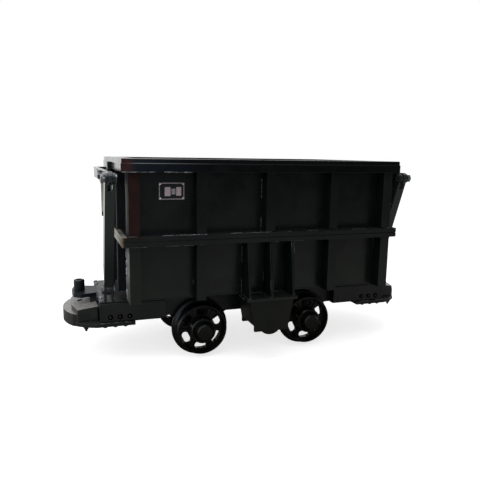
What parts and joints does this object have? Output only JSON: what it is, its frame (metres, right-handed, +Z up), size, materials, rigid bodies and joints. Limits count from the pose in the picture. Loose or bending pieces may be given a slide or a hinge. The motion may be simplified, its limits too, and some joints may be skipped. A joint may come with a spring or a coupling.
{
  "type": "side dump ore cart",
  "caption": "Rail ore cart whose tub tips to one side on a truck with link and pin bumpers; a side roller lifts it and tie rods raise the far side door.",
  "frame": {"origin": "on the floor under the middle of the cart", "axes": "+X along the cart, -Y the roller side, +Z up"},
  "size_m": [2.6118, 1.3, 1.368],
  "materials": {
    "tub_paint": "glossy black enamel over welded plate",
    "truck_paint": "black enamel on rolled sections, a little dusty",
    "casting_paint": "black paint on rough cast steel",
    "wheel_iron": "cast wheel, painted black",
    "pin_steel": "turned steel, painted or oiled"
  },
  "bodies": {
    "truck": {"sills": "truck_paint", "end_channels": "truck_paint", "end_plate_left": "truck_paint", "end_plate_right": "truck_paint", "base_plates": "truck_paint", "cross_members": "truck_paint", "axle_pedestals": "truck_paint", "bumper_left": "casting_paint", "bumper_right": "casting_paint", "pin_guides": "casting_paint", "rod_brackets": "truck_paint", "hinge_brackets": "truck_paint", "frame_pins": "pin_steel", "tub_rests": "truck_paint"},
    "tub": {"tub_floor": "tub_paint", "tub_near_wall": "tub_paint", "tub_end_wall_left": "tub_paint", "tub_end_wall_right": "tub_paint", "floor_bearers": "tub_paint", "tub_rim": "tub_paint", "tub_belt": "tub_paint", "corner_posts": "tub_paint", "side_ribs": "tub_paint", "end_ribs": "tub_paint", "tub_hinge_lugs": "tub_paint", "door_pivot_brackets": "tub_paint", "door_pivot_pins": "pin_steel", "roller_bracket": "tub_paint", "roller_plates": "tub_paint", "roller_webs": "tub_paint", "roller_pin": "tub_paint"},
    "door": {"door_panel": "tub_paint", "door_top_rail": "tub_paint", "door_ribs": "tub_paint", "door_arm_left": "tub_paint", "door_arm_right": "tub_paint"},
    "roller": {"roller": "wheel_iron"},
    "rod_left": {"tie_rod_left": "tub_paint", "tie_rod_pin_left": "pin_steel"},
    "rod_right": {"tie_rod_right": "tub_paint", "tie_rod_pin_right": "pin_steel"},
    "wheelset_left": {"axle_left": "pin_steel", "wheel_left_near": "wheel_iron", "wheel_left_far": "wheel_iron"},
    "wheelset_right": {"axle_right": "pin_steel", "wheel_right_near": "wheel_iron", "wheel_right_far": "wheel_iron"}
  },
  "joints": [
    {"name": "wheelset_left_spin", "type": "hinge", "parent": "truck", "child": "wheelset_left", "pos_m": [-0.4, 0, 0.2], "axis": [0, 1, 0], "continuous": true},
    {"name": "wheelset_right_spin", "type": "hinge", "parent": "truck", "child": "wheelset_right", "pos_m": [0.4, 0, 0.2], "axis": [0, 1, 0], "continuous": true},
    {"name": "tub_tip", "type": "hinge", "parent": "truck", "child": "tub", "pos_m": [0, 0.285, 0.505], "axis": [-1, 0, 0], "range_deg": [0, 42]},
    {"name": "roller_spin", "type": "hinge", "parent": "tub", "child": "roller", "pos_m": [0, -0.513, 0.297], "axis": [0, 1, 0], "continuous": true},
    {"name": "door_lift", "type": "hinge", "parent": "tub", "child": "door", "pos_m": [0, 0.005, 1.25], "axis": [1, 0, 0], "range_deg": [0, 42]},
    {"name": "rod_left_swing", "type": "hinge", "parent": "truck", "child": "rod_left", "pos_m": [0, -0.275, 0.505], "axis": [-1, 0, 0], "range_deg": [0, 42]},
    {"name": "rod_right_swing", "type": "hinge", "parent": "truck", "child": "rod_right", "pos_m": [0, -0.275, 0.505], "axis": [-1, 0, 0], "range_deg": [0, 42]}
  ],
  "couplings": [
    {"joint": "door_lift", "follows": "tub_tip", "ratio": 1},
    {"joint": "rod_left_swing", "follows": "tub_tip", "ratio": 1},
    {"joint": "rod_right_swing", "follows": "tub_tip", "ratio": 1}
  ]
}
